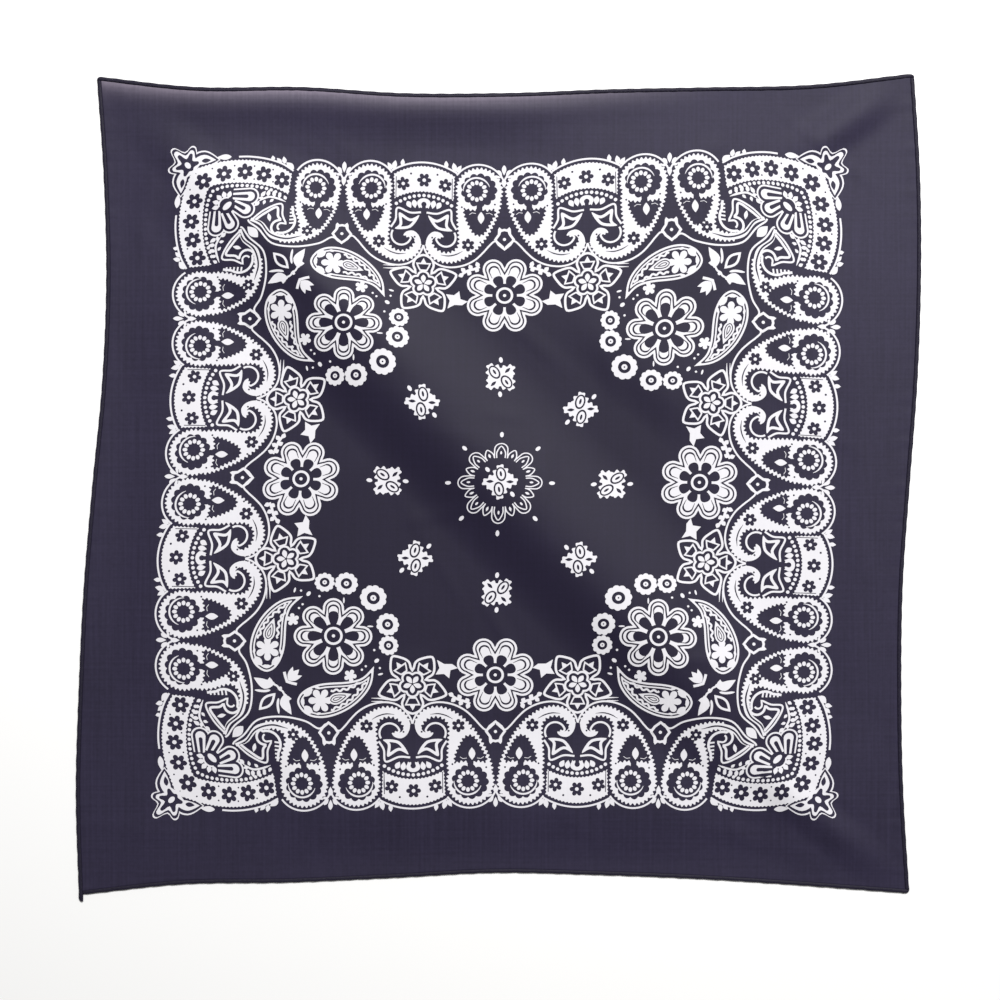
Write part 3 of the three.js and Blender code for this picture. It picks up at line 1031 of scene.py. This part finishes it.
def cloth_shell():
    """The printed square: its face, its underside and the rim that closes them, tucked into the hems."""
    inner = np.linspace(-BUTT, BUTT, round(2 * BUTT / CELL) + 1)
    steps = np.concatenate([[-SEAM - TUCK], inner, [SEAM + TUCK]])
    n = len(steps)
    across, up = square_grid(steps)
    x, y = plan(across, up)
    under = lift(x, y)
    top = face_height(x, y) + puckers(across, up)
    low = under + 0.6 * (top - under - CLOTH) * (under >= 0.05)
    skin = n * n
    faces = []
    for j in range(n - 1):
        for i in range(n - 1):
            a, b, c, d = j * n + i, j * n + i + 1, (j + 1) * n + i + 1, (j + 1) * n + i
            faces += [(a, b, d), (b, c, d), (skin + a, skin + d, skin + b), (skin + b, skin + d, skin + c)]
    rim = list(range(n - 1)) + [j * n + n - 1 for j in range(n - 1)]
    rim += [(n - 1) * n + i for i in range(n - 1, 0, -1)] + [j * n for j in range(n - 1, 0, -1)]
    faces += [(a, skin + a, skin + b, b) for a, b in zip(rim, rim[1:] + rim[:1])]
    points = np.concatenate([np.stack([x, y, z], 1) for z in (top, low)])
    made = build("printed_square", points, faces, COTTON)
    # Where the painted sheen lies: right beside the north hem, strongest in the west and gone towards the
    # east
    sheen_share = ease((160 - across) / 200) * np.exp(-np.maximum(SEAM - up, 0) / 4.2)
    layer = made.data.attributes.new(SHEEN_LAYER, "FLOAT", "POINT")
    layer.data.foreach_set("value", np.concatenate([sheen_share, sheen_share * 0]))
    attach(made, "root")
    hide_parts("panel")
    return made


# The hems: each edge rolled over twice, slightly puckered

HEM_RING = (
    (0.0, 0.25), (0.35, 0.0), (1.4, 0.0), (2.35, 0.0), (2.68, 0.28), (2.8, 0.75), (2.74, 1.15),
    (2.5, 1.48), (2.1, 1.66), (1.5, 1.7), (0.9, 1.62), (0.45, 1.42), (0.15, 1.1), (0.02, 0.7),
)
HEM_STEP = 2.4
END_STEPS = np.array([0, 0.2, 0.6, 1.2, 2.0])
CORNER_ROUND = 3.6


def rolled_hem(side, first, last, edge_of, seed, free_start=True, free_end=True):
    """One rolled edge. edge_of turns a place along it and a distance out from the seam into the cut cloth.

    A free end is rounded off as a corner of the cloth. The others run into the hem across them."""
    phases = np.random.RandomState(seed).uniform(0, 2 * pi, 3)
    middle = np.arange(first + 3.2, last - 3.2, HEM_STEP)
    steps = np.concatenate([first + END_STEPS, middle, last - END_STEPS[::-1]])
    size = len(HEM_RING)
    points = []
    for s in steps:
        from_start = s - first if free_start else CORNER_ROUND
        from_end = last - s if free_end else CORNER_ROUND
        rounded = 1 - np.sqrt(1 - (1 - min(from_start, from_end, CORNER_ROUND) / CORNER_ROUND) ** 2)
        swell = 1 + 0.07 * sin(2 * pi * s / 6.1 + phases[0]) + 0.05 * sin(2 * pi * s / 17.3 + phases[1])
        sway = 0.12 * sin(2 * pi * s / 11.3 + phases[2])
        for out, over in HEM_RING:
            wide = out * (1 - 0.8 * rounded) + (sway * (out / HEM_WIDTH) if out > 1 else 0)
            tall = (over - 0.8) * (1 - 0.45 * rounded) + 0.8 if over > 0.5 else over
            across, up = edge_of(s, wide)
            x, y = plan(np.array([across]), np.array([up]))
            points.append((x[0], y[0], lift(x, y)[0] + tall * (swell if over > 0.5 else 1)))
    faces = []
    for r in range(0, len(points) - size, size):
        for i in range(size):
            j = (i + 1) % size
            faces.append((r + i, r + j, r + size + j, r + size + i))
    faces += [tuple(range(size - 1, -1, -1)), tuple(range(len(points) - size, len(points)))]
    made = build("rolled_hem_" + side, points, faces, HEM_COTTON)
    outward_faces(made)
    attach(made, "root")
    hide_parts("hem_" + side)
    return made


def outward_faces(made):
    """Turns a closed mesh's faces out if they point in."""
    mesh = made.data
    mesh.calc_loop_triangles()
    at = np.empty(len(mesh.vertices) * 3)
    mesh.vertices.foreach_get("co", at)
    at = at.reshape(-1, 3)
    corners = np.empty(len(mesh.loop_triangles) * 3, int)
    mesh.loop_triangles.foreach_get("vertices", corners)
    a, b, c = (at[corners.reshape(-1, 3)[:, k]] for k in range(3))
    if (a * np.cross(b, c)).sum() < 0:
        mesh.flip_normals()


# Stitches along the hems

def stitch_tree():
    """Puts one stitch at even steps along a curve, each turned along it."""
    tree = bpy.data.node_groups.new("stitches", "GeometryNodeTree")
    tree.interface.new_socket("Geometry", in_out="OUTPUT", socket_type="NodeSocketGeometry")
    tree.interface.new_socket("Geometry", in_out="INPUT", socket_type="NodeSocketGeometry")
    for name in ("Spacing", "Length", "Thickness"):
        tree.interface.new_socket(name, in_out="INPUT", socket_type="NodeSocketFloat")
    tree.interface.new_socket("Thread", in_out="INPUT", socket_type="NodeSocketMaterial")
    bench = Bench(tree)
    line_in = bench.node("NodeGroupInput", output="Geometry")
    names = ("Spacing", "Length", "Thickness", "Thread")
    spacing, length, thick, thread = (line_in.other(name) for name in names)
    spots = bench.node("GeometryNodeCurveToPoints", {"mode": "LENGTH"}, {"Curve": line_in, "Length": spacing})
    ball = bench.node("GeometryNodeMeshIcoSphere", None, {"Radius": 0.5, "Subdivisions": 2})
    size = bench.node("ShaderNodeCombineXYZ", None, {"X": thick * 0.8, "Y": thick, "Z": length})
    stitches = bench.node("GeometryNodeInstanceOnPoints", None, {
        "Points": spots, "Instance": ball, "Rotation": spots.other("Rotation"), "Scale": size})
    real = bench.node("GeometryNodeRealizeInstances", None, {"Geometry": stitches})
    soft = bench.node("GeometryNodeSetShadeSmooth", None, {0: real})
    done = bench.node("GeometryNodeSetMaterial", None, {"Geometry": soft, "Material": thread})
    bench.node("NodeGroupOutput", None, {0: done})
    return tree


def stitch_lines():
    """One thin curve over each hem's inner edge, just on its roll."""
    curve = bpy.data.curves.new("stitch_lines", "CURVE")
    curve.dimensions = "3D"
    reach = np.arange(-HALF + 4, HALF - 4, 2.0)
    still, row = reach * 0, SEAM + 0.75
    north, south = still + row, still - row
    for across, up in ((reach, north), (reach, south), (north, reach), (south, reach)):
        x, y = plan(across, up)
        z = lift(x, y) + HEM_THICK * 0.97
        spline = curve.splines.new("POLY")
        spline.points.add(len(x) - 1)
        values = np.stack([x + SHIFT[0], y + SHIFT[1], z, z * 0 + 1000], 1) * MM
        spline.points.foreach_set("co", values.ravel())
    return curve


def stitches():
    """Every stitch of the four hems, as one mesh."""
    guide = added("stitch_guide", stitch_lines())
    tree = stitch_tree()
    modifier = guide.modifiers.new("stitches", "NODES")
    modifier.node_group = tree
    wanted = {"Spacing": 3.1 * MM, "Length": 2.3 * MM, "Thickness": 0.34 * MM, "Thread": THREAD}
    for item in tree.interface.items_tree:
        if item.in_out == "INPUT" and item.name in wanted:
            modifier[item.identifier] = wanted[item.name]
    depsgraph = bpy.context.evaluated_depsgraph_get()
    mesh = bpy.data.meshes.new_from_object(guide.evaluated_get(depsgraph))
    guide.modifiers.remove(modifier)
    bpy.data.objects.remove(guide)
    mesh.name = "hem_stitches"
    made = added("hem_stitches", mesh)
    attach(made, "root")
    return made


# The print's pieces, laid on the cloth

def holds(outline, spots):
    """Which spots lie inside an outline, counting how often it winds round them."""
    a = np.array(outline)
    b = np.roll(a, -1)
    q = spots[:, None]
    side = (b.real - a.real) * (q.imag - a.imag) - (q.real - a.real) * (b.imag - a.imag)
    up = (a.imag <= q.imag) & (b.imag > q.imag) & (side > 0)
    down = (a.imag > q.imag) & (b.imag <= q.imag) & (side < 0)
    return up.sum(1) != down.sum(1)


def flattened(shapes, spacing=4.6):
    """Lays the shapes over one another in their order, and keeps the triangles whose top shape is inked."""
    points, edges = [], []
    for _, outline in shapes:
        first, count = len(points), len(outline)
        edges += [(first + i, first + (i + 1) % count) for i in range(count)]
        points += outline
    reach = [(min(v), max(v)) for v in ([p.real for p in points], [p.imag for p in points])]
    columns, rows = (range(ceil(low / spacing), int(high / spacing) + 1) for low, high in reach)
    points += [complex((i + 0.5 * (j % 2)) * spacing, j * spacing) for i in columns for j in rows]
    laid = delaunay_2d_cdt([Vector((p.real, p.imag)) for p in points], edges, [], 0, 1e-4, False)
    places = np.array([complex(*p) for p in laid[0]])
    triangles = np.array(laid[2])
    middles = places[triangles].mean(axis=1)
    x, y = middles.real, middles.imag
    top = np.zeros(len(triangles), int)
    for ink, outline in shapes:
        xs, ys = [p.real for p in outline], [p.imag for p in outline]
        near = np.flatnonzero((x > min(xs)) & (x < max(xs)) & (y > min(ys)) & (y < max(ys)))
        top[near[holds(outline, middles[near])]] = ink
    used, kept = np.unique(triangles[top == INK], return_inverse=True)
    return places[used], kept.reshape(-1, 3)


def quarter_turns(flip):
    """The ways that a motif repeats round the square: four turns, and their mirror images if asked."""
    turns = [1, 1j, -1, -1j]
    return [(turn, False) for turn in turns] + [(turn, True) for turn in turns] * flip


def printed(name, shapes, ways, over=0.0):
    """One piece of the print: its shapes repeated in the given ways and laid on the cloth's face."""
    places, triangles = flattened(shapes)
    points, faces = [], []
    for turn, flip in ways:
        moved = turn * (-places.conjugate() if flip else places)
        x, y = plan_of_print(moved.real, moved.imag)
        z = face_height(x, y) + PRINT_OVER + over
        faces.append((triangles[:, ::-1] if flip else triangles) + len(places) * len(points))
        points.append(np.stack([x, y, z], 1))
    made = build(name, np.concatenate(points), np.concatenate(faces).tolist(), WHITE_PRINT)
    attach(made, "root")
    return made


def border_shapes():
    """A paisley each side of an arch, the leaves between them, and the lantern beside them."""
    shapes = both_sides(hooked_paisley(), ARCH_AXIS) + arch_unit()
    return shapes + both_sides(junction_leaves(), ARCH_AXIS) + gap_unit(GAP_AXIS)


def corner_shapes():
    """A whole corner of the border."""
    return corner_halo() + across_diagonal(upper_corner()) + corner_on_diagonal()


cloth = cloth_shell()
hems = [
    rolled_hem("north", -HALF, HALF, lambda s, out: (s, SEAM + out), 1),
    rolled_hem("south", -SEAM, HALF, lambda s, out: (s, -SEAM - out), 2, free_start=False),
    rolled_hem("west", -HALF - TAIL, SEAM, lambda s, out: (-SEAM - out, s), 3, free_end=False),
    rolled_hem("east", -SEAM, SEAM, lambda s, out: (SEAM + out, s), 4, free_start=False, free_end=False),
]
seams = stitches()
prints = [
    printed("print_border", border_shapes(), quarter_turns(True)),
    printed("print_border_middles", gap_unit(0), quarter_turns(False), 0.02),
    printed("print_corners", corner_shapes(), quarter_turns(False), 0.04),
    printed("print_field_sprays", upper_field(), quarter_turns(True), 0.02),
    printed("print_field_flowers", field_on_diagonal() + field_on_axis(), quarter_turns(False), 0.06),
    printed("print_medallion", medallion(), [(1, False)]),
]


# The floor, the light and the camera

def plain(name, colour, roughness):
    """A material of one colour."""
    material = bpy.data.materials.new(name)
    material.use_nodes = True
    shader = material.node_tree.nodes["Principled BSDF"]
    shader.inputs["Base Color"].default_value = (*colour, 1)
    shader.inputs["Roughness"].default_value = roughness
    return material


def floor(reach=4.0):
    """A wide plain floor."""
    mesh = bpy.data.meshes.new("floor")
    corners = [(-reach, -reach, 0), (reach, -reach, 0), (reach, reach, 0), (-reach, reach, 0)]
    mesh.from_pydata(corners, [], [(0, 1, 2, 3)])
    mesh.materials.append(plain("pale_floor", (0.93, 0.925, 0.915), 0.7))
    added("floor", mesh)


def softbox(name, at, aim, size, power):
    """A square lamp that faces a point."""
    light = bpy.data.lights.new(name, "AREA")
    light.shape = "SQUARE"
    light.size = size
    light.energy = power
    made = added(name, light)
    made.location = at
    made.rotation_euler = (Vector(aim) - Vector(at)).to_track_quat("-Z", "Y").to_euler()


floor()
softbox("key", (0.44, 1.12, 1.85), (0.0, 0.0, 0), 0.5, 63)
world = bpy.data.worlds.new("studio")
world.use_nodes = True
world.node_tree.nodes["Background"].inputs["Color"].default_value = (1, 1, 1, 1)
world.node_tree.nodes["Background"].inputs["Strength"].default_value = 0.22
bpy.context.scene.world = world
bpy.context.scene.view_settings.view_transform = "Standard"

lens = bpy.data.cameras.new("photo_view")
SENSOR, CAMERA_HEIGHT, VIEW_WIDTH = 36, 1.5, 0.665
lens.sensor_width = SENSOR
lens.lens = SENSOR * CAMERA_HEIGHT / VIEW_WIDTH
camera = added("photo_view", lens)
camera.location = (0.0009, -0.0082, CAMERA_HEIGHT)
bpy.context.scene.camera = camera
